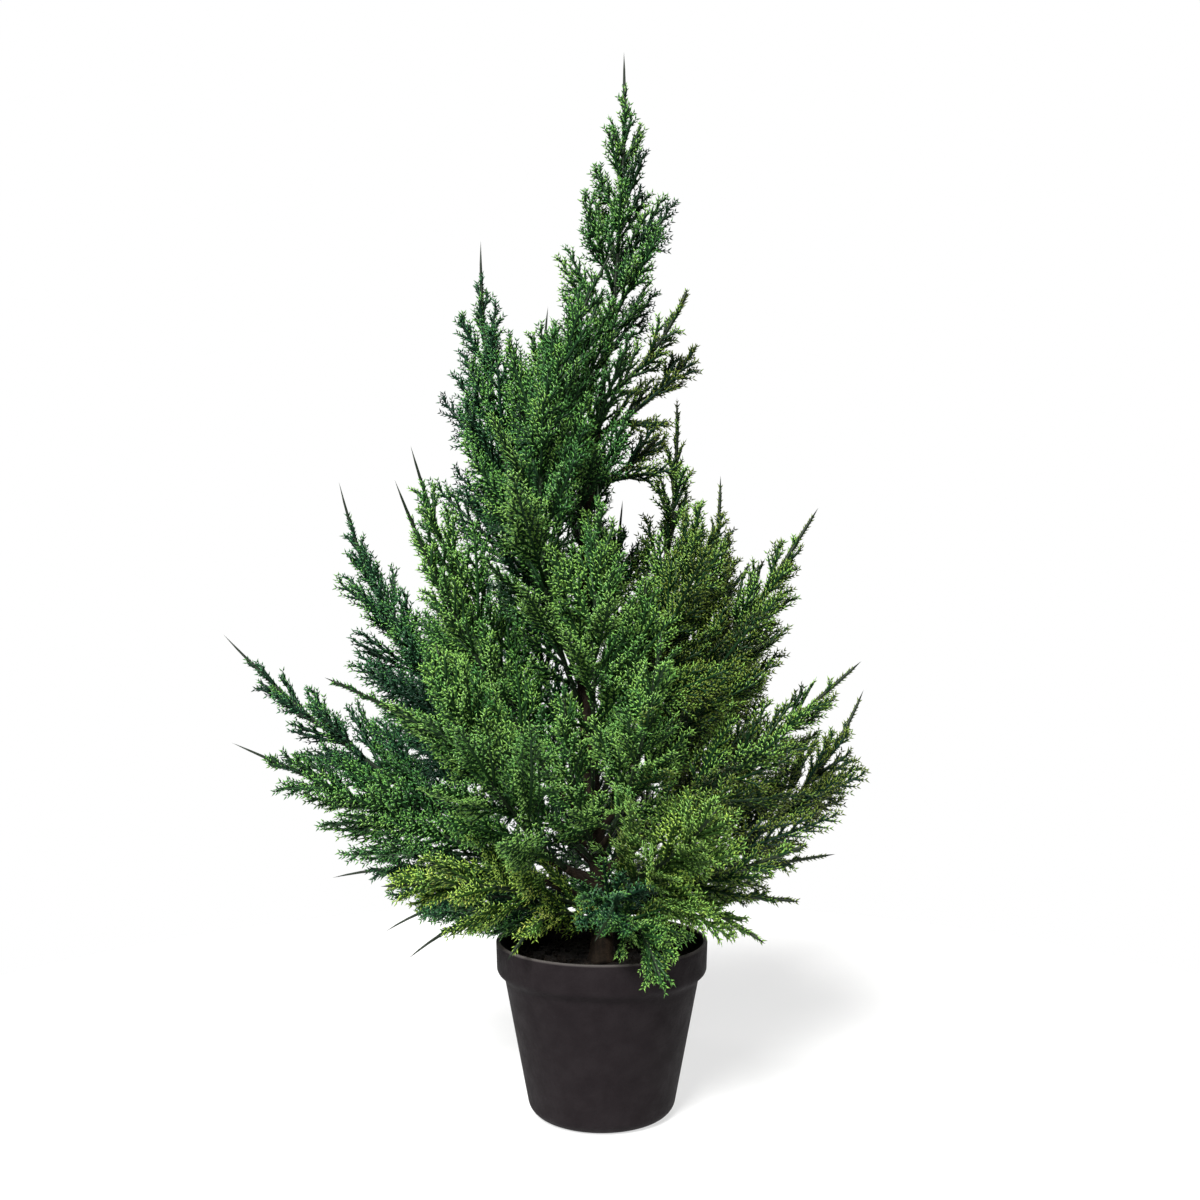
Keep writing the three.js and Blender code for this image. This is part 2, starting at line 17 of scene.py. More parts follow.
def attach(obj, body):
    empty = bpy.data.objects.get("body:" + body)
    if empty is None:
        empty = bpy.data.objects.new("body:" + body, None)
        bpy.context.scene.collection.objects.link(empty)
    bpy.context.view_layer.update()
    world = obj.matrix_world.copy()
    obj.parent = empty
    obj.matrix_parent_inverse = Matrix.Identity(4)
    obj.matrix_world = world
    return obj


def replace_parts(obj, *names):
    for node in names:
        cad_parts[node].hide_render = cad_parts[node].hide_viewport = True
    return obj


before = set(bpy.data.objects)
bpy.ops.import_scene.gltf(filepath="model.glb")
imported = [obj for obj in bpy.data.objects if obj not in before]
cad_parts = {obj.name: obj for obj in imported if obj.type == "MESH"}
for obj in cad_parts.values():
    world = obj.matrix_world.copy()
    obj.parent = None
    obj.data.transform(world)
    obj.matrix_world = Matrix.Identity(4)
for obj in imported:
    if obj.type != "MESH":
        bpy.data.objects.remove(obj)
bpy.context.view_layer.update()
MM = 0.001

# %% [markdown]
# Colours are easiest to judge as they look on a screen, so each one is named by its screen values,
# 0 to 255, and changed to the linear light that a shader works in.


# %% Colour helper
def tint(red, green, blue):
    def linear(value):
        share = value / 255
        return share / 12.92 if share <= 0.04045 else ((share + 0.055) / 1.055) ** 2.4

    return (linear(red), linear(green), linear(blue), 1.0)


print("mid grey is", round(tint(128, 128, 128)[0], 3), "in linear light")

# %% [markdown]
# The pot, the bark and the crumbs in the pot all have a fine uneven surface and a colour that
# drifts a little. Both effects could be built again in each material, but a shader node group is
# built once and placed in each of them with its own values. The groups read Object coordinates, so
# the patterns keep their real size on every piece.


# %% Shared node groups
def add_node(tree, kind, **values):
    node = tree.nodes.new(kind)
    for key, value in values.items():
        if hasattr(node, key):
            setattr(node, key, value)
        else:
            node.inputs[key.replace("_", " ")].default_value = value
    return node


def new_group(name, inputs, outputs):
    group = bpy.data.node_groups.new(name, "ShaderNodeTree")
    for label, kind in inputs:
        group.interface.new_socket(label, in_out="INPUT", socket_type=kind)
    for label, kind in outputs:
        group.interface.new_socket(label, in_out="OUTPUT", socket_type=kind)
    return group, group.nodes.new("NodeGroupInput"), group.nodes.new("NodeGroupOutput")


def grain_group():
    inputs = [("Scale", "NodeSocketFloat"), ("Lump Scale", "NodeSocketFloat")]
    group, given, result = new_group("uneven_grain", inputs, [("Height", "NodeSocketFloat")])
    place = add_node(group, "ShaderNodeTexCoord")
    fine = add_node(group, "ShaderNodeTexNoise", Detail=3.0, Roughness=0.6)
    lumps = add_node(group, "ShaderNodeTexNoise", Detail=2.0)
    both = add_node(group, "ShaderNodeMath", operation="ADD")
    for texture, size in ((fine, "Scale"), (lumps, "Lump Scale")):
        group.links.new(place.outputs["Object"], texture.inputs["Vector"])
        group.links.new(given.outputs[size], texture.inputs["Scale"])
    group.links.new(fine.outputs["Fac"], both.inputs[0])
    group.links.new(lumps.outputs["Fac"], both.inputs[1])
    group.links.new(both.outputs[0], result.inputs["Height"])
    return group


def drift_group():
    inputs = [
        ("Dark", "NodeSocketColor"),
        ("Light", "NodeSocketColor"),
        ("Scale", "NodeSocketFloat"),
        ("Stretch", "NodeSocketFloat"),
    ]
    outputs = [("Color", "NodeSocketColor"), ("Share", "NodeSocketFloat")]
    group, given, result = new_group("colour_drift", inputs, outputs)
    place = add_node(group, "ShaderNodeTexCoord")
    long = add_node(group, "ShaderNodeCombineXYZ", X=1.0, Y=1.0)
    stretch = add_node(group, "ShaderNodeVectorMath", operation="MULTIPLY")
    cloud = add_node(group, "ShaderNodeTexNoise", Detail=4.0, Roughness=0.6)
    firm = add_node(group, "ShaderNodeMapRange")
    firm.inputs["From Min"].default_value = 0.35
    firm.inputs["From Max"].default_value = 0.65
    mix = add_node(group, "ShaderNodeMix", data_type="RGBA")
    group.links.new(given.outputs["Stretch"], long.inputs["Z"])
    group.links.new(place.outputs["Object"], stretch.inputs[0])
    group.links.new(long.outputs[0], stretch.inputs[1])
    group.links.new(stretch.outputs[0], cloud.inputs["Vector"])
    group.links.new(given.outputs["Scale"], cloud.inputs["Scale"])
    group.links.new(cloud.outputs["Fac"], firm.inputs["Value"])
    group.links.new(firm.outputs["Result"], mix.inputs["Factor"])
    group.links.new(given.outputs["Dark"], mix.inputs["A"])
    group.links.new(given.outputs["Light"], mix.inputs["B"])
    group.links.new(mix.outputs["Result"], result.inputs["Color"])
    group.links.new(firm.outputs["Result"], result.inputs["Share"])
    return group


GRAIN = grain_group()
DRIFT = drift_group()
print("groups:", GRAIN.name, DRIFT.name)

# %% [markdown]
# The pot is moulded in a matt, dark brown-grey plastic with a faint grain, and a paler band along its
# lip is a painted highlight. The bark is nearly black-brown and streaked along the limb, its dark brown
# darkened further as painted shade, and the fill is a dark crumbly dressing. One function makes all
# three: the drift sets the colour and the grain feeds a Bump node, so each finish differs only in its
# values. The pot shines less than the others, with a faintly warm gloss, so its edges don't turn pale
# where the light grazes them.


# %% Finishes with a pattern
def uneven_finish(name, dark, light, drift, stretch, grain, lumps, depth, roughness):
    material = bpy.data.materials.new(name)
    material.use_nodes = True
    tree = material.node_tree
    shader = tree.nodes["Principled BSDF"]
    colour = add_node(tree, "ShaderNodeGroup", node_tree=DRIFT)
    colour.inputs["Dark"].default_value = dark
    colour.inputs["Light"].default_value = light
    colour.inputs["Scale"].default_value = drift
    colour.inputs["Stretch"].default_value = stretch
    surface = add_node(tree, "ShaderNodeGroup", node_tree=GRAIN)
    surface.inputs["Scale"].default_value = grain
    surface.inputs["Lump Scale"].default_value = lumps
    shader.inputs["Specular IOR Level"].default_value = 0.2
    bump = add_node(tree, "ShaderNodeBump", Strength=1.0, Distance=depth)
    rough = add_node(tree, "ShaderNodeMapRange")
    rough.inputs["To Min"].default_value = roughness + 0.05
    rough.inputs["To Max"].default_value = roughness - 0.05
    tree.links.new(colour.outputs["Color"], shader.inputs["Base Color"])
    tree.links.new(colour.outputs["Share"], rough.inputs["Value"])
    tree.links.new(rough.outputs["Result"], shader.inputs["Roughness"])
    tree.links.new(surface.outputs["Height"], bump.inputs["Height"])
    tree.links.new(bump.outputs["Normal"], shader.inputs["Normal"])
    return material


pot_plastic = uneven_finish(
    "pot_plastic",
    tint(25, 21, 23),
    tint(30, 26, 28),
    drift=90.0,
    stretch=1.0,
    grain=1500.0,
    lumps=420.0,
    depth=0.0003,
    roughness=0.66,
)
pot_sheen = pot_plastic.node_tree.nodes["Principled BSDF"].inputs
pot_sheen["Specular IOR Level"].default_value = 0.08
pot_sheen["Specular Tint"].default_value = (0.92, 0.84, 0.88, 1.0)
# The bark is dark brown, and these two colours are darkened further as painted shade.
bark = uneven_finish(
    "moulded_bark",
    tint(22, 18, 14),
    tint(50, 39, 29),
    drift=260.0,
    stretch=0.22,
    grain=1500.0,
    lumps=380.0,
    depth=0.0006,
    roughness=0.8,
)
dressing = uneven_finish(
    "dark_dressing",
    tint(16, 13, 11),
    tint(36, 29, 23),
    drift=300.0,
    stretch=1.0,
    grain=1600.0,
    lumps=500.0,
    depth=0.0008,
    roughness=0.92,
)
print("uneven finishes:", pot_plastic.name, bark.name, dressing.name)


# %% Painted highlight on the lip of the pot
# A painted highlight: the base colour turns pale over a band at the top of the lip.
def paint_lip_highlight(material, low, high, pale):
    tree = material.node_tree
    shader = tree.nodes["Principled BSDF"]
    under = shader.inputs["Base Color"].links[0].from_socket
    place = add_node(tree, "ShaderNodeTexCoord")
    height = add_node(tree, "ShaderNodeSeparateXYZ")
    near = add_node(tree, "ShaderNodeMapRange")
    near.inputs["From Min"].default_value = low
    near.inputs["From Max"].default_value = high
    near.inputs["To Max"].default_value = 0.7
    mix = add_node(tree, "ShaderNodeMix", data_type="RGBA")
    mix.inputs["B"].default_value = pale
    tree.links.new(place.outputs["Object"], height.inputs[0])
    tree.links.new(height.outputs["Z"], near.inputs["Value"])
    tree.links.new(near.outputs["Result"], mix.inputs["Factor"])
    tree.links.new(under, mix.inputs["A"])
    tree.links.new(mix.outputs["Result"], shader.inputs["Base Color"])


POT_HEIGHT = 96.0
# Painted highlight over the top 1.2 mm of the lip
paint_lip_highlight(pot_plastic, (POT_HEIGHT - 1.2) * MM, POT_HEIGHT * MM, tint(92, 88, 86))
print("lip: rubbed over the top 1.2 mm of", POT_HEIGHT, "mm")

# %% [markdown]
# The needles are moulded in several plain greens, from a blue-green to a yellow-green on the low
# front plumes, and the plumes in the depth of the crown take the darkest greens, partly as painted
# shade. A pattern on thousands of tiny needles would never be seen, so each green is one plain colour
# with a soft plastic sheen. The greens are dealt out to the side branches when the plumes are grown.
# The cords that carry the needles have a dark green of the same family, darkened further as painted
# shade, so the gaps between the needles look deep.


# %% Plain greens for needles and shoots
def plain_finish(name, colour, roughness, gloss=0.5):
    material = bpy.data.materials.new(name)
    material.use_nodes = True
    shader = material.node_tree.nodes["Principled BSDF"]
    shader.inputs["Base Color"].default_value = colour
    shader.inputs["Roughness"].default_value = roughness
    shader.inputs["Specular IOR Level"].default_value = gloss
    return material


GREENS = {
    "shade_green": plain_finish("shade_green", tint(24, 56, 40), 0.42),
    "shade_olive": plain_finish("shade_olive", tint(42, 54, 22), 0.42),
    "blue_green": plain_finish("blue_green", tint(56, 111, 66), 0.4),
    "olive_green": plain_finish("olive_green", tint(102, 122, 44), 0.4),
    "deep_green": plain_finish("deep_green", tint(68, 124, 58), 0.4),
    "moss_green": plain_finish("moss_green", tint(116, 152, 62), 0.38),
    "mid_green": plain_finish("mid_green", tint(101, 156, 71), 0.38),
    "fresh_green": plain_finish("fresh_green", tint(130, 178, 82), 0.38),
    "yellow_green": plain_finish("yellow_green", tint(160, 194, 80), 0.38),
    "lime_green": plain_finish("lime_green", tint(192, 208, 94), 0.38),
}
stem_green = plain_finish("stem_green", tint(28, 40, 26), 0.5, 0.25)
print("greens:", len(GREENS), "for needles, and", stem_green.name)

# %% Families of greens
DEEP, GREEN, BRIGHT, YELLOW = "deep_green", "green", "bright_green", "yellow_green"
# The cords' dark greens, darkened further as painted shade in the gaps between the needles
SHOOTS = {
    DEEP: plain_finish("deep_shoot", tint(16, 44, 28), 0.5, 0.2),
    GREEN: plain_finish("green_shoot", tint(21, 50, 24), 0.5, 0.2),
    BRIGHT: plain_finish("bright_shoot", tint(27, 58, 26), 0.5, 0.2),
    YELLOW: plain_finish("yellow_shoot", tint(40, 68, 24), 0.5, 0.2),
}

# Each family of plumes deals its side branches from four greens, most often the two in the middle
FAMILIES = {
    # The deep family is partly painted shade: it goes to the plumes at the back, to inner_left, and to
    # front_arch in the hollow over the pot.
    DEEP: ("shade_green", "blue_green", "deep_green", "mid_green"),
    GREEN: ("shade_green", "deep_green", "mid_green", "fresh_green"),
    BRIGHT: ("deep_green", "mid_green", "fresh_green", "fresh_green"),
    YELLOW: ("fresh_green", "yellow_green", "yellow_green", "lime_green"),
}

# The right side of the plant looks browner and less bluish in its warmer light, and this is painted
# into the greens as warm light: plumes with a tip further to the right than this many millimetres
# have a deal of their own
RIGHT_FROM = 25.0
RIGHT_WARM_LIGHT_FAMILIES = {
    DEEP: ("shade_olive", "olive_green", "olive_green", "moss_green"),
    GREEN: ("shade_olive", "olive_green", "moss_green", "fresh_green"),
    BRIGHT: ("olive_green", "mid_green", "fresh_green", "fresh_green"),
    YELLOW: ("olive_green", "moss_green", "fresh_green", "yellow_green"),
}
print("families:", *FAMILIES)

# %% [markdown]
# The pot is a turned shape: a tapered wall, a short step out to an upright band, and a rounded
# foot. It could be kept as the frame's solid, but that has flat sides. Here the corners of its
# section are drawn as a few joined points, rounded with a vertex bevel, and spun all the way round.


# %% Pot
def new_piece(name, bm, material, smooth=True):
    mesh = bpy.data.meshes.new(name)
    bm.to_mesh(mesh)
    bm.free()
    mesh.materials.append(material)
    if smooth:
        mesh.shade_smooth()
    piece = bpy.data.objects.new(name, mesh)
    bpy.context.scene.collection.objects.link(piece)
    return piece


def spun(section, roundings, steps):
    """A closed turned shape from corner points (radius, height) and the corners' roundings, in mm."""
    bm = bmesh.new()
    corners = [bm.verts.new((r * MM, 0, z * MM)) for r, z in section]
    for a, b in zip(corners, corners[1:]):
        bm.edges.new((a, b))
    for corner, (size, segments) in roundings.items():
        bmesh.ops.bevel(
            bm,
            geom=[corners[corner]],
            offset=size * MM,
            offset_type="OFFSET",
            segments=segments,
            profile=0.5,
            affect="VERTICES",
            material=-1,
        )
    bmesh.ops.spin(
        bm,
        geom=bm.verts[:] + bm.edges[:],
        cent=(0, 0, 0),
        axis=(0, 0, 1),
        angle=2 * math.pi,
        steps=steps,
        use_merge=True,
    )
    bmesh.ops.remove_doubles(bm, verts=bm.verts, dist=1e-6)
    bmesh.ops.recalc_face_normals(bm, faces=bm.faces)
    return bm


RIM_RADIUS = 60.0
POT_SECTION = [
    (0, 0),
    (40.2, 0),
    (55.0, 75.5),
    (59.4, 79.5),
    (RIM_RADIUS, POT_HEIGHT),
    (57.6, POT_HEIGHT),
    (57.0, 79.5),
    (52.6, 75.5),
    (38.6, 3.0),
    (0, 3.0),
]
POT_ROUNDINGS = {1: (7.0, 8), 2: (1.6, 4), 3: (1.6, 4), 4: (0.9, 4), 5: (0.9, 4), 8: (4.0, 4)}
pot = new_piece("moulded_pot", spun(POT_SECTION, POT_ROUNDINGS, 144), pot_plastic)
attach(pot, "root")
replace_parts(pot, "pot")
print("pot:", len(pot.data.polygons), "faces")

# %% [markdown]
# The pot is filled to just under its band with a weight that a dark, crumbly dressing hides. Its
# body is spun like the pot. The many rings on its top are then lifted and lowered by a noise.

# %% Fill
FILL_TOP = 84.0
FILL_RADIUS = 56.5
TOP_RINGS = 26
fill_section = [(0, 3.4), (38.2, 3.4), (52.2, 75.5), (FILL_RADIUS, 79.5)]
fill_section += [(FILL_RADIUS * (1 - i / TOP_RINGS), FILL_TOP) for i in range(TOP_RINGS + 1)]
bm = spun(fill_section, {}, 96)
for vert in bm.verts:
    if vert.co.z > (FILL_TOP - 1) * MM:
        vert.co.z += 1.6 * MM * (noise.noise(vert.co * 160) - 0.6)
fill = new_piece("pot_dressing", bm, dressing)
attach(fill, "root")
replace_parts(fill, "pot_fill")
print("fill:", len(fill.data.polygons), "faces")

# %% [markdown]
# Loose crumbs are strewn over the dressing. An object for each would be slow to handle, and so would
# one for each needle later on, so many small shapes are joined into one mesh from arrays. The
# crumbs are dented copies of one small icosphere.


# %% Joined pieces from arrays
def joined_piece(name, points, triangles, materials, deal=None, smooth=True):
    """One mesh from arrays: points in mm, corner numbers, and the material number of each triangle."""
    mesh = bpy.data.meshes.new(name)
    mesh.vertices.add(len(points))
    mesh.vertices.foreach_set("co", (points * MM).astype(np.float32).ravel())
    mesh.loops.add(3 * len(triangles))
    mesh.loops.foreach_set("vertex_index", triangles.astype(np.int32).ravel())
    mesh.polygons.add(len(triangles))
    mesh.polygons.foreach_set("loop_start", np.arange(0, 3 * len(triangles), 3, dtype=np.int32))
    for material in materials:
        mesh.materials.append(material)
    if deal is not None:
        mesh.polygons.foreach_set("material_index", deal.astype(np.int32))
    mesh.update(calc_edges=True)
    if smooth:
        mesh.shade_smooth()
    piece = bpy.data.objects.new(name, mesh)
    bpy.context.scene.collection.objects.link(piece)
    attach(piece, "root")
    return piece


CRUMBS = 420
bm = bmesh.new()
bmesh.ops.create_icosphere(bm, subdivisions=1, radius=1.0)
crumb_points = np.array([v.co for v in bm.verts])
crumb_faces = np.array([[v.index for v in f.verts] for f in bm.faces])
bm.free()
print("crumb:", len(crumb_faces), "faces, joined", CRUMBS, "times")

# %% Crumbs on the fill
luck = np.random.default_rng(3)
spots = luck.uniform(0, 1, CRUMBS)
radii = 12 + (FILL_RADIUS - 15) * np.sqrt(spots)
turns = luck.uniform(0, 2 * math.pi, CRUMBS)
centres = np.stack([radii * np.cos(turns), radii * np.sin(turns), np.full(CRUMBS, FILL_TOP - 0.4)], 1)
sizes = luck.uniform(0.7, 2.1, (CRUMBS, 1, 1)) * luck.uniform(0.6, 1.2, (CRUMBS, 1, 3))
dents = luck.uniform(0.8, 1.15, (CRUMBS, len(crumb_points), 1))
points = (crumb_points * dents * sizes + centres[:, None]).reshape(-1, 3)
faces = (crumb_faces + len(crumb_points) * np.arange(CRUMBS)[:, None, None]).reshape(-1, 3)
crumbs = joined_piece("dressing_crumbs", points, faces, [dressing])
print("crumbs:", len(crumbs.data.polygons), "faces")

# %% [markdown]
# The trunk is slim, leans a little and flares at its foot. Every plume leaves it at its own height
# and bearing. These sizes are the ones that the solids were made from, so a plume grown from them
# fills the same space. A limb's line is a curve with one bend: its foot on the trunk, a middle
# that is pushed outwards by bow and sideways by sway, and its tip.

# %% Lines of the limbs
TRUNK_TIP = 412.0
CROWN_TOP = 609.0
CROWN_LEAN = 13.0
CROWN_BOW = 13.0
CROWN_BOW_SHARE = 0.78
LEADER_FOOT = TRUNK_TIP + 0.45


def trunk_point(z):
    share = (z - FILL_TOP) / (CROWN_TOP - FILL_TOP)
    wave = math.sin(math.pi * min(share, CROWN_BOW_SHARE) / CROWN_BOW_SHARE)
    return np.array([CROWN_LEAN * share**2 - CROWN_BOW * wave**2, 0.0, z])


def trunk_radius(z):
    height = z - FILL_TOP
    return 5.6 - 3.6 * height / (TRUNK_TIP - FILL_TOP) + 3.0 * math.exp(-height / 9.0)


def unit(vector):
    return vector / np.linalg.norm(vector, axis=-1, keepdims=True)


class Line:
    """A curve from a foot to a tip, bent once at its middle."""

    def __init__(self, foot, middle, tip):
        self.foot, self.middle, self.tip = foot, middle, tip

    def at(self, t):
        t = np.asarray(t, float)[..., None]
        return (1 - t) ** 2 * self.foot + 2 * t * (1 - t) * self.middle + t**2 * self.tip

    def heading(self, t):
        t = np.asarray(t, float)[..., None]
        return unit((1 - t) * (self.middle - self.foot) + t * (self.tip - self.middle))

    def length(self):
        return np.linalg.norm(np.diff(self.at(np.linspace(0, 1, 201)), axis=0), axis=1).sum()


# Share of a plume's line that is bough, and length of its bare point in mm where the table has none
BOUGH_SHARE = 0.16
BARE_SPIKE = 22.0


class Plume:
    """A plume's line from the trunk to its tip, and the sizes that it grows by."""

    def __init__(self, name, family, az, foot, reach, tip, width, **more):
        azimuth = math.radians(az)
        self.name, self.family, self.width = name, family, width
        self.roll, self.bough = more.get("roll", 0), more.get("bough", False)
        self.spike = more.get("spike", BARE_SPIKE)
        self.side = np.array([-math.sin(azimuth), math.cos(azimuth), 0.0])
        start = trunk_point(foot)
        end = np.array([reach * math.cos(azimuth), reach * math.sin(azimuth), tip])
        chord = end - start
        sag = unit(np.cross(self.side, chord))
        sag = -sag if sag[2] > 0 else sag
        bend = 2 * np.linalg.norm(chord) * (more.get("bow", 0) * sag + more.get("sway", 0) * self.side)
        self.line = Line(start, start + chord / 2 + bend, end)
        self.length = self.line.length()
        self.samples = self.line.at(np.linspace(0, 1, 49))
        self.radii = np.array([self.radius(t) for t in np.linspace(0, 1, 49)])

    def radius(self, t):
        if self.bough:
            return float(np.interp(t, [0, BOUGH_SHARE, 1], [2.4, 1.6, 0.6]))
        return 1.6 - t


print("trunk:", round(2 * trunk_radius(146), 1), "mm thick above the pot, tip at", TRUNK_TIP, "mm")

# %% [markdown]
# The table names each plume, its family of greens and its sizes in millimetres. The bearing az runs
# in degrees from the right towards the back, roll turns the side branches by radians, and spike is
# the length of the bare point at the tip. A spray grows straight from the trunk, and a plume made by
# bough grows from a main bough, which is the first part of its line.

# %% Table of the plumes
plumes = []


def spray(name, family, **sizes):
    plumes.append(Plume(name, family, **sizes))


def bough(name, family, **sizes):
    plumes.append(Plume(name, family, bough=True, **sizes))


spray("leader", GREEN, az=0, foot=LEADER_FOOT, reach=CROWN_LEAN, tip=CROWN_TOP, bow=0.02, width=72, roll=0.3)
spray("upper_right", GREEN, az=350, foot=404, reach=50, tip=467, bow=0.08, width=28, roll=5.4, spike=4)
spray("upper_right_low", DEEP, az=12, foot=384, reach=58, tip=440, bow=0.06, width=40, roll=2.3, spike=4)
spray("mid_right", DEEP, az=350, foot=352, reach=34, tip=384, bow=0.06, width=50, roll=1.6, spike=4)
spray("upper_left", DEEP, az=172, foot=238, reach=72, tip=501, bow=0.06, width=99, roll=2.5)
spray("upper_mid", GREEN, az=285, foot=222, reach=41, tip=487, bow=0.08, sway=-0.15, width=103, roll=3.8)
spray("upper_front", GREEN, az=250, foot=318, reach=30, tip=462, bow=0.08, width=96, roll=0.8, spike=6)
spray("upper_back", GREEN, az=135, foot=318, reach=46, tip=468, bow=0.1, width=112, roll=6.2)
spray("inner_left", DEEP, az=155, foot=178, reach=40, tip=330, bow=0.1, width=50, roll=1.7)
spray("left_mid", GREEN, az=203, foot=136, reach=158, tip=246, bow=-0.05, width=32, roll=3.9, spike=6)
spray("left_droop", DEEP, az=178, foot=106, reach=155, tip=129, bow=-0.1, width=81, roll=2.3)
spray("left_skirt", GREEN, az=206, foot=102, reach=114, tip=97, bow=-0.16, width=48, roll=3.9)
spray("left_skirt_back", DEEP, az=185, foot=97, reach=122, tip=102, bow=-0.17, width=82, roll=3.8)
spray("left_low_front", YELLOW, az=214, foot=110, reach=136, tip=140, bow=-0.05, width=75, roll=5.5, spike=6)
spray("front_left_skirt", YELLOW, az=232, foot=94, reach=80, tip=99, bow=-0.25, width=34, roll=1.6, spike=6)
spray("front_inner", BRIGHT, az=250, foot=138, reach=60, tip=246, bow=0.1, width=54, roll=5.6, spike=6)
spray("front_mid", BRIGHT, az=304, foot=190, reach=44, tip=304, bow=0.1, width=73, roll=5.5, spike=6)
spray("front_tall", BRIGHT, az=268, foot=176, reach=57, tip=348, bow=0.1, width=94, spike=8)
# front_arch takes the deep family as painted shade in the dark hollow over the pot
spray("front_arch", DEEP, az=268, foot=112, reach=110, tip=120, bow=-0.1, sway=0.08, width=64, roll=3.1)
spray("front_skirt", BRIGHT, az=291, foot=94, reach=90, tip=86, bow=-0.27, width=66, roll=0.8, spike=6)
spray("front_right", YELLOW, az=297, foot=124, reach=123, tip=184, bow=0.06, width=104, roll=5.5, spike=6)
spray("right_droop", YELLOW, az=325, foot=101, reach=104, tip=107, bow=-0.16, width=43, roll=4.7, spike=6)
spray("right_skirt", GREEN, az=346, foot=107, reach=112, tip=122, bow=-0.06, width=29, roll=3.1, spike=6)
spray("right_low_front", GREEN, az=333, foot=114, reach=122, tip=158, bow=0.02, width=52, roll=3.1, spike=6)
spray("right_flat", DEEP, az=6, foot=113, reach=137, tip=141, bow=-0.02, width=45, roll=0.8)
spray("right_inner", GREEN, az=338, foot=206, reach=58, tip=344, bow=0.1, width=110, roll=5.5, spike=6)
spray("right_mid", DEEP, az=29, foot=142, reach=83, tip=366, bow=0.09, width=110, roll=1.6)
spray("right_tall", GREEN, az=24, foot=166, reach=49, tip=410, bow=0.06, width=68, roll=3.2, spike=10)
# The plumes at the back take the deep family, partly as painted shade
spray("back_low", DEEP, az=90, foot=106, reach=160, tip=160, bow=0, width=127, roll=0.7)
spray("back_inner", DEEP, az=75, foot=240, reach=50, tip=352, bow=0.1, width=82, roll=3.2)
spray("back_tall", DEEP, az=95, foot=230, reach=55, tip=455, bow=0.1, width=53, roll=4.8)
spray("back_skirt_left", DEEP, az=138, foot=106, reach=130, tip=124, bow=-0.1, width=56, roll=0.8)
spray("back_skirt_right", DEEP, az=50, foot=106, reach=125, tip=124, bow=-0.1, width=52, roll=3.9)
bough("left_high", BRIGHT, az=196, foot=168, reach=110, tip=373, bow=0.05, width=92, roll=2.5)
bough("left_broad", BRIGHT, az=209, foot=152, reach=125, tip=350, bow=0.04, width=53, roll=4.5)
bough("left_rise", DEEP, az=174, foot=146, reach=156, tip=359, bow=0.1, width=84, roll=1.6)
bough("left_far", DEEP, az=178, foot=128, reach=220, tip=269, bow=0.06, width=76, roll=0.7)
bough("left_low", GREEN, az=191, foot=114, reach=204, tip=210, width=93)
bough("front_left", BRIGHT, az=226, foot=122, reach=121, tip=265, bow=0.1, width=112, roll=3.1, spike=8)
bough("front_rise", BRIGHT, az=285, foot=144, reach=112, tip=270, bow=0.1, width=70, roll=3.1, spike=8)
bough("right_low", DEEP, az=12, foot=123, reach=161, tip=236, bow=0.15, width=90, roll=2.4)
bough("right_far", GREEN, az=350, foot=131, reach=146, tip=254, bow=0.01, width=83, roll=1.6)
bough("right_out", GREEN, az=0, foot=154, reach=125, tip=342, bow=0.01, width=88, roll=4.7)
bough("back_left", DEEP, az=135, foot=136, reach=150, tip=300, bow=0.1, width=129, roll=2.3)
bough("back_right", DEEP, az=52, foot=130, reach=150, tip=270, bow=0.1, width=129, roll=3.9)
print("plumes:", len(plumes), "of", round(sum(p.length for p in plumes) / 1000, 1), "m of stem in all")

# %% [markdown]
# Trunk and boughs are cast in one plastic with the ridges and knots of bark. Each limb starts as a
# circle at its foot. Its ring of edges is extruded again and again up the limb, and each new ring
# is set to the limb's radius there, with a noise for the relief. A fine bump in the finish adds
# the rest.


# %% Trunk and boughs
OFF_LIMB = (0.31, 0.95, 0.05)  # a way that no limb runs along, to lay its rings out from
COLLAR = 1.1
COLLAR_FADE = 9.0


def bark_limb(bm, line_at, radius_at, span, rings, sides, relief):
    """One closed limb over a span of places: line_at gives its centre and heading, in mm."""
    ring = bmesh.ops.create_circle(bm, cap_ends=False, radius=1.0, segments=sides)["verts"]
    turns = {vert: 2 * math.pi * j / sides for j, vert in enumerate(ring)}
    edges = list({edge for vert in ring for edge in vert.link_edges})
    for i in range(rings + 1):
        if i > 0:
            made = bmesh.ops.extrude_edge_only(bm, edges=edges)["geom"]
            ring = [g for g in made if isinstance(g, bmesh.types.BMVert)]
            below = {v: [e.other_vert(v) for e in v.link_edges if e.other_vert(v) in turns] for v in ring}
            turns = {vert: turns[below[vert][0]] for vert in ring}
            edges = [e for e in made if isinstance(e, bmesh.types.BMEdge) and set(e.verts) <= turns.keys()]
        place = span[0] + (span[1] - span[0]) * i / rings
        centre, forward = line_at(place)
        u = unit(np.cross(forward, OFF_LIMB))
        v = np.cross(forward, u)
        for vert in ring:
            way = u * math.cos(turns[vert]) + v * math.sin(turns[vert])
            spot = Vector(centre * (0.25, 0.25, 0.09) + way * 1.3)
            lift = 1 + relief * (noise.noise(spot) + 0.6 * noise.noise(spot * 2.7))
            vert.co = Vector(centre + way * radius_at(place) * lift) * MM


def closed_bark(name, bm):
    bmesh.ops.holes_fill(bm, edges=bm.edges)
    bmesh.ops.recalc_face_normals(bm, faces=bm.faces)
    piece = new_piece(name, bm, bark)
    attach(piece, "root")
    print(name + ":", len(piece.data.polygons), "faces")
    return piece


def trunk_line(z):
    return trunk_point(z), unit(trunk_point(z + 1) - trunk_point(z - 1))


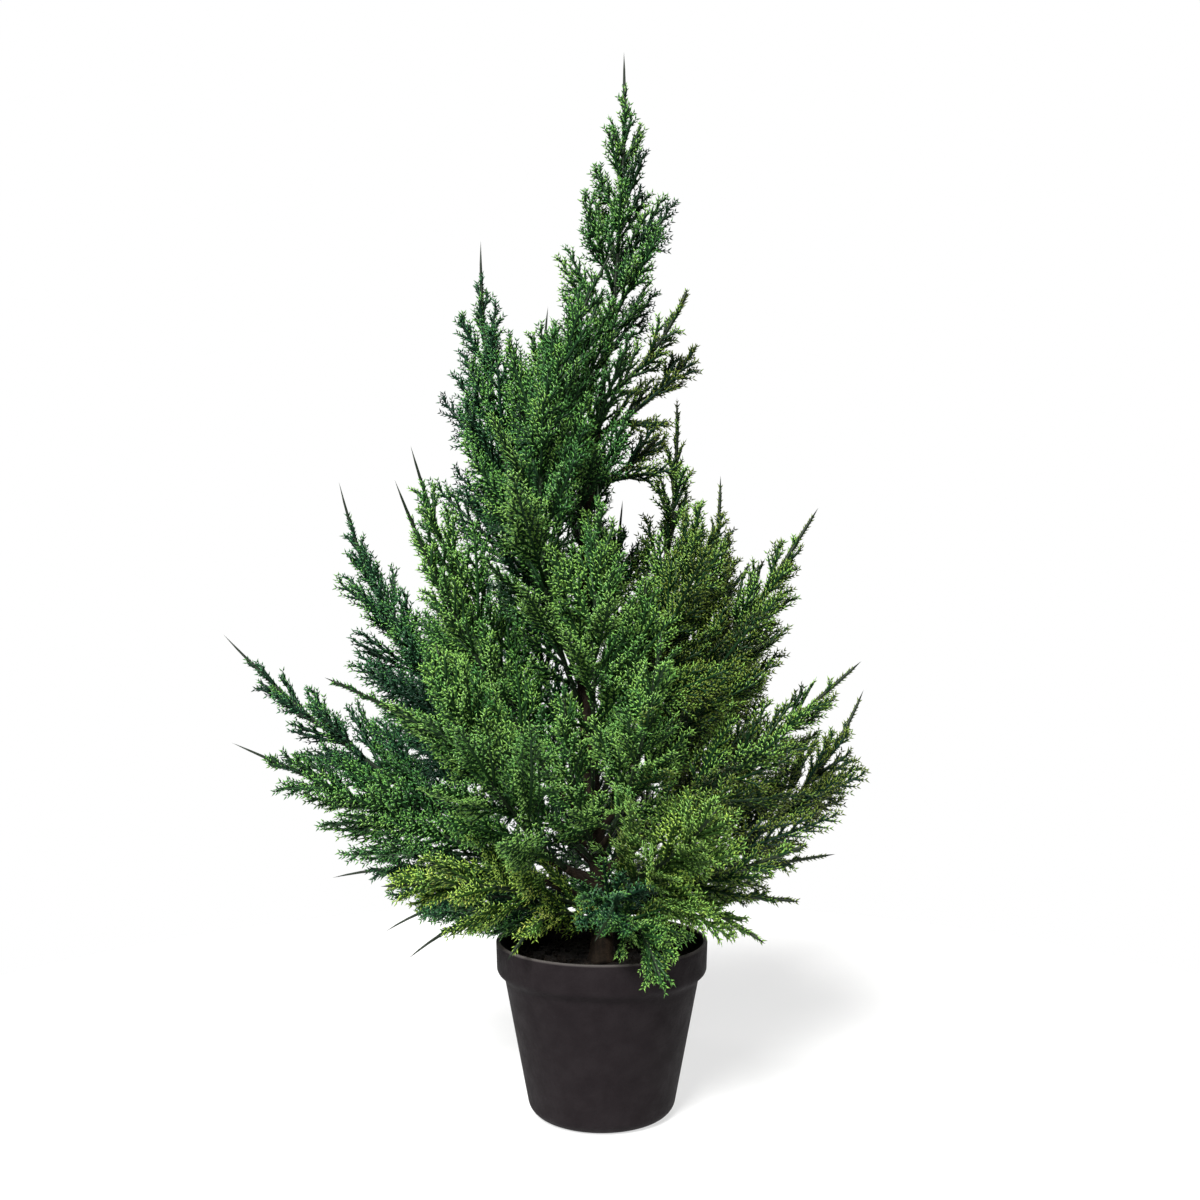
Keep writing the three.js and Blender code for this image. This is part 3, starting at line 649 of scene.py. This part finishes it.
bm = bmesh.new()
bark_limb(bm, trunk_line, trunk_radius, (FILL_TOP - 0.6, TRUNK_TIP), 150, 22, 0.2)
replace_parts(closed_bark("trunk_bark", bm), "trunk")

bm = bmesh.new()
for plume in plumes:
    if plume.bough:
        collared = lambda t: plume.radius(t) + COLLAR * math.exp(-t * plume.length / COLLAR_FADE)
        bough_line = lambda t: (plume.line.at(t), plume.line.heading(t))
        bark_limb(bm, bough_line, collared, (0.01, BOUGH_SHARE + 0.004), 20, 10, 0.16)
boughs = closed_bark("bough_bark", bm)
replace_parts(boughs, *[p.name + "_bough" for p in plumes if p.bough])

# %% [markdown]
# A plume grows by one rule. Side branches stand round the stem, each turned from the last by the
# golden angle, long and open near the foot and short and close near the tip, and more of them stand
# in between, to fill its depth. A branch that would leave its plume's own space, which is everything
# nearer to its stem than to any other, is shortened or left out, so neighbours don't grow through
# each other. Hair could grow such a plant too, but it wouldn't know where the neighbours are. Every
# choice comes from a seeded draw, so the plant grows the same each time.

# %% Draws and the space of a plume
stem_points = np.stack([p.samples for p in plumes])
stem_radii = np.stack([p.radii for p in plumes])
trunk_heights = np.arange(FILL_TOP, TRUNK_TIP + 1, 5)
trunk_points = np.array([trunk_point(z) for z in trunk_heights])
trunk_radii = np.array([trunk_radius(z) for z in trunk_heights])
OVERLAP = 9.0
POT_CLEAR = 3.5
TRUNK_CLEAR = 1.5


def draws_from(seed):
    state = seed * 2654435761 % 2**32
    while True:
        state = (state * 1664525 + 1013904223) % 2**32
        yield state / 2**32


def either_way(draw):
    """A draw from minus one to one."""
    return 2 * next(draw) - 1


def in_own_space(own, points):
    """Which of the points, in mm, a plume may grow to. Needles of neighbours may mesh a little."""
    away = np.linalg.norm(points[:, None, None] - stem_points, axis=3)
    others = (away - stem_radii).min(2)
    others[:, own] = np.inf
    off_trunk = (np.linalg.norm(points[:, None] - trunk_points, axis=2) - trunk_radii).min(1)
    over_pot = np.hypot(points[:, 0], points[:, 1]) < RIM_RADIUS + POT_CLEAR
    in_pot = over_pot & (points[:, 2] < POT_HEIGHT + POT_CLEAR)
    return (away[:, own].min(1) - OVERLAP <= others.min(1)) & (off_trunk > TRUNK_CLEAR) & ~in_pot


print("space: tested against", stem_points.shape[0], "stems of", stem_points.shape[1], "points")

# %% Branches that fit their space
SHORTENINGS = (1, 0.86, 0.72, 0.58, 0.44, 0.3)
LEAST_ANGLE = 0.15


class Shoot:
    """A stem, side branch or twig: its line, radii, green, flat side, and where needles start and end."""

    def __init__(self, kind, line, length, radii, bare, green, face, end=1.0):
        self.kind, self.line, self.length, self.radii = kind, line, length, radii
        self.bare, self.green, self.face, self.end = bare, green, face, end


def square_to(forward, side):
    u = unit(side - forward * np.dot(side, forward))
    return u, np.cross(forward, u)


def branch_line(root, along, out, angle, closing, length):
    """A line that leaves `along` at an angle towards `out` and closes up by `closing` halfway."""
    later = max(angle - closing, LEAST_ANGLE)
    middle = root + (along * math.cos(angle) + out * math.sin(angle)) * length / 2
    return Line(root, middle, middle + (along * math.cos(later) + out * math.sin(later)) * length / 2)


def fitted(own, root, along, out, angle, closing, length, least):
    """The longest form of a branch that keeps to its plume's space, with its length, or None."""
    for share in SHORTENINGS:
        if length * share < least:
            return None
        line = branch_line(root, along, out, angle, closing, length * share)
        if in_own_space(own, line.at((0.5, 0.75, 1.0))).all():
            return line, length * share
    return None


print("branches: tried at", len(SHORTENINGS), "lengths")

# %% [markdown]
# A side branch is a flat frond: its twigs leave it to the left and the right in turn, and the longest
# of them fork once more. The twigs share the frond's green, and about one in five is a step paler.

# %% Twigs of one side branch
TWIG_SPACING = 4.1
TWIG_REACH_AT_TIP = 3.5
TWIG_LEAST = 4.0
TWIG_SHARE = 0.42
TWIG_ANGLE = 31
TWIG_TILT = 0.4
ANGLE_LUCK = 0.1
CLOSING = 0.2
FORK_LEAST = 15.0
FORK_ANGLE = 0.62
FORK_PLACES = (0.3, 0.55)
PALEST = 3


def twigs_of(own, line, length, face, green_of_all, draw):
    shoots = []
    count = int(0.75 * length / TWIG_SPACING)
    for j in range(count):
        share = 0.2 + 0.75 * (j + 0.5) / count
        tilt = either_way(draw) * TWIG_TILT
        angle = math.radians(TWIG_ANGLE) + either_way(draw) * ANGLE_LUCK
        reach = (TWIG_REACH_AT_TIP + TWIG_SHARE * length * (1 - share)) * (0.85 + 0.3 * next(draw))
        green = min(green_of_all + (next(draw) > 0.8), PALEST)
        forward = line.heading(share)
        aside = unit(np.cross(face, forward)) * (1 if j % 2 == 0 else -1)
        out = unit(aside * math.cos(tilt) + face * math.sin(tilt))
        made = fitted(own, line.at(share), forward, out, angle, CLOSING, reach, TWIG_LEAST)
        if made is None:
            continue
        twig, long = made
        shoots.append(Shoot("twig", twig, long, (0.9, 0.7), 0.06, green, face))
        if long < FORK_LEAST:
            continue
        for place, hand in zip(FORK_PLACES, (1, -1)):
            along = twig.heading(place)
            way = unit(np.cross(face, along)) * hand
            reach = TWIG_SHARE * long
            fork = fitted(own, twig.at(place), along, way, FORK_ANGLE, CLOSING, reach, TWIG_LEAST)
            if fork is not None:
                shoots.append(Shoot("twig", *fork, (0.85, 0.7), 0.1, green, face))
    return shoots


print("twigs: one every", TWIG_SPACING, "mm of a side branch")

# %% [markdown]
# The fronds mostly turn their flat side to the front or the back, and somewhat outwards. Each swings
# round its own branch by a drawn angle too, so the crown looks full from every side. The ones in
# between are shorter in the front plumes and take darker greens near the foot, where the real plant
# is in shade.

# %% One side branch
LATERAL_SHORTEST = 5.0
LATERAL_ANGLE = 40
LATERAL_NARROWING = 18
LATERAL_CLOSING = 0.15
GOLDEN_TURN = 2.39996
TURN_LUCK = 0.35
BETWEEN_TURN = 2.6
BETWEEN_REACH = 0.8
BETWEEN_SEED = 500
OUTWARD_LOOK = 0.6
FROND_SWING = 0.8


def dealt_green(luck, depth):
    """Number of a side branch's green in its family. Depth makes a dark one more likely."""
    return int(np.searchsorted((0.06 + 0.6 * depth, 0.5 + 0.42 * depth, 0.92 + 0.08 * depth), luck))


def lateral_on(own, plume, start, end, count, i, between):
    """Side branch number i of a plume with its twigs, or the one in between it and the next."""
    draw = draws_from((own + 1) * 1000 + i + (BETWEEN_SEED if between else 0))
    next(draw), next(draw)  # thrown away, as they were for the solids, so both grow alike
    share = (i + (1.0 if between else 0.5)) / count
    place = start + (end - start) * share
    along = plume.line.heading(place)
    u, v = square_to(along, plume.side)
    turn = plume.roll + i * GOLDEN_TURN + either_way(draw) * TURN_LUCK + (BETWEEN_TURN if between else 0)
    angle = math.radians(LATERAL_ANGLE - LATERAL_NARROWING * share) + either_way(draw) * ANGLE_LUCK
    shape = (1 - min(share, 1)) ** 0.8 * min(1, 0.7 + 1.6 * share)
    shape *= BETWEEN_REACH if between and plume.line.tip[1] < 0 else 1
    reach = max(plume.width * shape * (0.84 + 0.32 * next(draw)), LATERAL_SHORTEST)
    out = u * math.cos(turn) + v * math.sin(turn)
    root = plume.line.at(place)
    made = fitted(own, root, along, out, angle, LATERAL_CLOSING, reach, LATERAL_SHORTEST)
    if made is None:
        return []
    line, length = made
    forward = line.heading(0.5)
    look = np.array([0.0, math.copysign(1, out[1]), 0.0]) + OUTWARD_LOOK * out
    face = unit(look - forward * np.dot(look, forward))
    swing = either_way(draw) * FROND_SWING
    face = face * math.cos(swing) + np.cross(forward, face) * math.sin(swing)
    green = dealt_green(next(draw), 0.4 * (1 - share) if between else 0.0)
    lateral = Shoot("lateral", line, length, (1.15, 0.85), 0.06, green, face)
    return [lateral] + twigs_of(own, line, length, face, green, draw)


print("side branches: at", LATERAL_ANGLE, "degrees to the stem at its foot, less towards its tip")

# %% Growth of a whole plume
LATERAL_SPACING = 8.0
INNER_SHARE = 0.8
FIRST_ON_TRUNK, FIRST_ON_BOUGH, FIRST_ON_LEADER = 0.06, BOUGH_SHARE + 0.02, 0.02
BARE_SHARE_RIGHT, BARE_SHARE_ELSEWHERE = 0.3, 0.9


def on_the_right(plume):
    return plume.line.tip[0] > RIGHT_FROM


def grow(own, plume):
    """All shoots of a plume. Its point is bare beyond the needles, and less so on the right."""
    start = FIRST_ON_BOUGH if plume.bough else FIRST_ON_TRUNK
    start = FIRST_ON_LEADER if plume.name == "leader" else start
    end = 1 - plume.spike / plume.length
    count = max(4, round((end - start) * plume.length / LATERAL_SPACING))
    radii = (plume.radius(start), 1.0)
    bare = BARE_SHARE_RIGHT if on_the_right(plume) else BARE_SHARE_ELSEWHERE
    leafy = 1 - bare * plume.spike / plume.length
    shoots = [Shoot("stem", plume.line, plume.length, radii, start, 1, plume.side, leafy)]
    for i in range(count):
        shoots += lateral_on(own, plume, start, end, count, i, False)
        if i < INNER_SHARE * count:
            shoots += lateral_on(own, plume, start, end, count, i, True)
    return shoots


grown = [grow(own, plume) for own, plume in enumerate(plumes)]
every = [shoot for shoots in grown for shoot in shoots]
print("shoots:", len(every), "with", round(sum(s.length for s in every) / 1000, 1), "m of line")

# %% [markdown]
# A needle is a short, fat awl about three millimetres long. Needles stand in pairs that lie nearly
# flat in the frond, turned a little to one face and the other in turn. They lean forward along the
# twig, most of all at its end, where some of them are a step paler. Each needle is four points and
# four triangles in an array: a root, two wide points and a tip, which from any side look like a
# small lozenge. One plume's needles become one mesh, and its greens are material slots.

# %% Needles
NEEDLE_LENGTH = 3.0
NEEDLE_HALF_WIDTH = 0.5
PAIR_SPACING = 2.1
PAIR_TURN = 0.4
PAIR_LUCK = 0.15
NEEDLE_LEAN = (0.75, 0.95)
TUFT = 3
TUFT_LEAN = 0.35
PALE_FROM = 0.7
PALE_SHARE = 0.15
BELLY = 0.32
NEEDLE_FACES = np.array([(0, 2, 1), (3, 1, 2), (0, 1, 3), (0, 3, 2)])


def needles_on(shoot, luck):
    """Roots, headings, outward ways, lengths and green numbers of the needles on one shoot."""
    leafy = (shoot.end - shoot.bare) * shoot.length
    count = max(3, int(leafy / PAIR_SPACING))
    places = shoot.bare + (shoot.end - shoot.bare) * (np.arange(count) + 0.6) / count
    centres = shoot.line.at(places)
    forward = shoot.line.heading(places)
    u = unit(np.cross(shoot.face, forward))
    v = np.cross(forward, u)
    turns = PAIR_TURN * (-1.0) ** np.arange(count)[:, None] + np.arange(2) * math.pi
    turns = turns + luck.uniform(-PAIR_LUCK, PAIR_LUCK, turns.shape)
    ways = u[:, None] * np.cos(turns)[..., None] + v[:, None] * np.sin(turns)[..., None]
    lean = luck.uniform(*NEEDLE_LEAN, (count, 2, 1))
    lean[-TUFT:] += TUFT_LEAN
    headings = unit(forward[:, None] * lean + ways * 0.85)
    roots = centres[:, None] + ways * 0.1
    lengths = NEEDLE_LENGTH * luck.uniform(0.82, 1.18, (count, 2))
    greens = np.full((count, 2), shoot.green)
    outer = greens[int(PALE_FROM * count) :]
    outer += luck.uniform(0, 1, outer.shape) < PALE_SHARE
    greens = np.minimum(greens, PALEST)
    return [a.reshape(-1, *a.shape[2:]) for a in (roots, headings, ways, lengths, greens)]


def needle_arrays(roots, headings, ways, lengths):
    """Four points of every needle, in one array, and the corner numbers of its four triangles."""
    across = unit(np.cross(headings, np.cross(headings, ways))) * NEEDLE_HALF_WIDTH
    reach = lengths[:, None]
    belly = roots + headings * reach * BELLY + np.cross(across, headings) * 0.7
    tips = roots + headings * reach
    points = np.stack([roots, belly + across, belly - across, tips], 1)
    faces = NEEDLE_FACES + 4 * np.arange(len(roots))[:, None, None]
    return points.reshape(-1, 3), faces.reshape(-1, 3)


print("needles: pairs every", PAIR_SPACING, "mm,", NEEDLE_LENGTH, "mm long")

# %% [markdown]
# Stems, side branches and twigs are thin cords under the needles. A curve with a round bevel would
# do for a few of them, but there are thousands, so each is a tapering tube in arrays with only as
# many sides as can be seen. It is closed at its foot and drawn out to a point.

# %% Stems, side branches and twigs as thin tubes
SIDES_AND_RINGS = {"stem": (6, 20), "lateral": (4, 5), "twig": (3, 2)}
OFF_SHOOT = (0.37, 0.21, 0.9)
POINT_RADIUS = 0.3


def tube_arrays(shoot, first):
    """Points and triangles of one closed shoot, numbered from `first`. It ends in a point."""
    sides, rings = SIDES_AND_RINGS[shoot.kind]
    low = max(shoot.bare - 0.03, 0.0) if shoot.kind == "stem" and shoot.bare > BOUGH_SHARE else 0.0
    places = np.linspace(low, 1, rings + 1)
    centres = shoot.line.at(places)
    forward = shoot.line.heading(places)
    u = unit(np.cross(forward, OFF_SHOOT))
    v = np.cross(forward, u)
    radii = np.interp(places, (low, 0.98 * shoot.end, 1), (*shoot.radii, POINT_RADIUS))[:, None, None]
    turns = 2 * math.pi * np.arange(sides)[None, :, None] / sides
    skin = centres[:, None] + radii * (u[:, None] * np.cos(turns) + v[:, None] * np.sin(turns))
    points = np.concatenate([skin[:-1].reshape(-1, 3), centres[-1:]])
    a = np.arange((rings - 1) * sides).reshape(rings - 1, sides)
    b = np.roll(a, -1, axis=1)
    walls = np.stack([a, b, b + sides, a, b + sides, a + sides], -1).reshape(-1, 3)
    top = (rings - 1) * sides + np.arange(sides)
    cone = np.stack([top, np.roll(top, -1), np.full(sides, len(points) - 1)], 1)
    foot = np.stack([np.zeros(sides - 2, int), np.arange(2, sides), np.arange(1, sides - 1)], 1)
    return points, np.concatenate([walls, cone, foot]) + first


print("tubes:", ", ".join(f"{kind} {sides} sides" for kind, (sides, rings) in SIDES_AND_RINGS.items()))

# %% A needle piece and a twig piece for every plume
triangles = 0
for number, (plume, shoots) in enumerate(zip(plumes, grown)):
    luck = np.random.default_rng(100 + number)
    parts = [needles_on(shoot, luck) for shoot in shoots]
    roots, headings, ways, lengths, greens = (np.concatenate(column) for column in zip(*parts))
    points, faces = needle_arrays(roots, headings, ways, lengths)
    families = RIGHT_WARM_LIGHT_FAMILIES if on_the_right(plume) else FAMILIES
    palette = [GREENS[name] for name in families[plume.family]]
    needles = joined_piece(plume.name + "_needles", points, faces, palette, np.repeat(greens, 4), False)
    points, faces, deal = [], [], []
    for shoot in shoots:
        more, corners = tube_arrays(shoot, sum(len(p) for p in points))
        points.append(more)
        faces.append(corners)
        deal.append(np.full(len(corners), 0 if shoot.kind == "stem" else 1))
    arrays = [np.concatenate(column) for column in (points, faces, deal)]
    cords = [stem_green, SHOOTS[plume.family]]
    twigs = joined_piece(plume.name + "_twigs", arrays[0], arrays[1], cords, arrays[2])
    for piece in (needles, twigs):
        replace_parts(piece, plume.name + "_spray")
        triangles += len(piece.data.polygons)
print("plumes:", 2 * len(plumes), "pieces with", triangles, "triangles")

# %% [markdown]
# The plant stands on a plain white floor in soft light. One broad light high on the left gives the
# needles their bright and dark sides, a weak and warmer one fills the right, one behind keeps the
# back from being lost in the shade, and a dim sky lights the rest. Lamps near by would light the
# floor unevenly, so all three are suns with a wide disc.
# The floor is a round white table that glows a little, as a light table does, so that shadows on
# it stay pale. The camera stands in front, at the height of the crown's middle, and looks up by
# two degrees.


# %% Floor
def broad_light(name, place, disc, strength, colour):
    light = bpy.data.lights.new(name, "SUN")
    light.angle = math.radians(disc)
    light.energy = strength
    light.color = colour
    thing = bpy.data.objects.new(name, light)
    thing.location = place
    thing.rotation_euler = (-thing.location).to_track_quat("-Z", "Y").to_euler()
    bpy.context.scene.collection.objects.link(thing)
    return thing


bm = bmesh.new()
bmesh.ops.create_circle(bm, cap_ends=True, radius=0.55, segments=128)
white = plain_finish("white_floor", (0.36, 0.36, 0.36, 1.0), 0.9, 0.0)
table_glow = white.node_tree.nodes["Principled BSDF"].inputs
table_glow["Emission Color"].default_value = (1, 1, 1, 1)
table_glow["Emission Strength"].default_value = 0.64
floor = new_piece("floor", bm, white)
print("floor:", len(floor.data.polygons), "face")

# %% Lights and sky
broad_light("key_light", (-0.8, -1.9, 1.9), 23.0, 6.9, (1.0, 1.0, 0.98))
broad_light("fill_light", (1.6, -1.4, 1.0), 60.0, 0.28, (1.0, 0.97, 0.92))
broad_light("back_light", (0.5, 1.9, 1.3), 60.0, 1.3, (1.0, 1.0, 1.0))
world = bpy.data.worlds.new("white_sky")
world.use_nodes = True
sky = world.node_tree.nodes["Background"]
sky.inputs["Color"].default_value = (1, 1, 1, 1)
ray = add_node(world.node_tree, "ShaderNodeLightPath")
brightness = add_node(world.node_tree, "ShaderNodeMapRange")
brightness.inputs["To Min"].default_value = 0.055
brightness.inputs["To Max"].default_value = 1.0
world.node_tree.links.new(ray.outputs["Is Camera Ray"], brightness.inputs["Value"])
world.node_tree.links.new(brightness.outputs["Result"], sky.inputs["Strength"])
bpy.context.scene.world = world
bpy.context.scene.view_settings.view_transform = "Standard"

# %% Camera
camera = bpy.data.objects.new("camera", bpy.data.cameras.new("camera"))
camera.data.lens = 36.8
camera.data.sensor_width = 36.0
camera.location = (-0.001, -0.705, 0.264)
camera.rotation_euler = (math.radians(92), 0, 0)
bpy.context.scene.collection.objects.link(camera)
bpy.context.scene.camera = camera
print("camera:", [round(x, 3) for x in camera.location], "lens", round(camera.data.lens, 1), "mm")
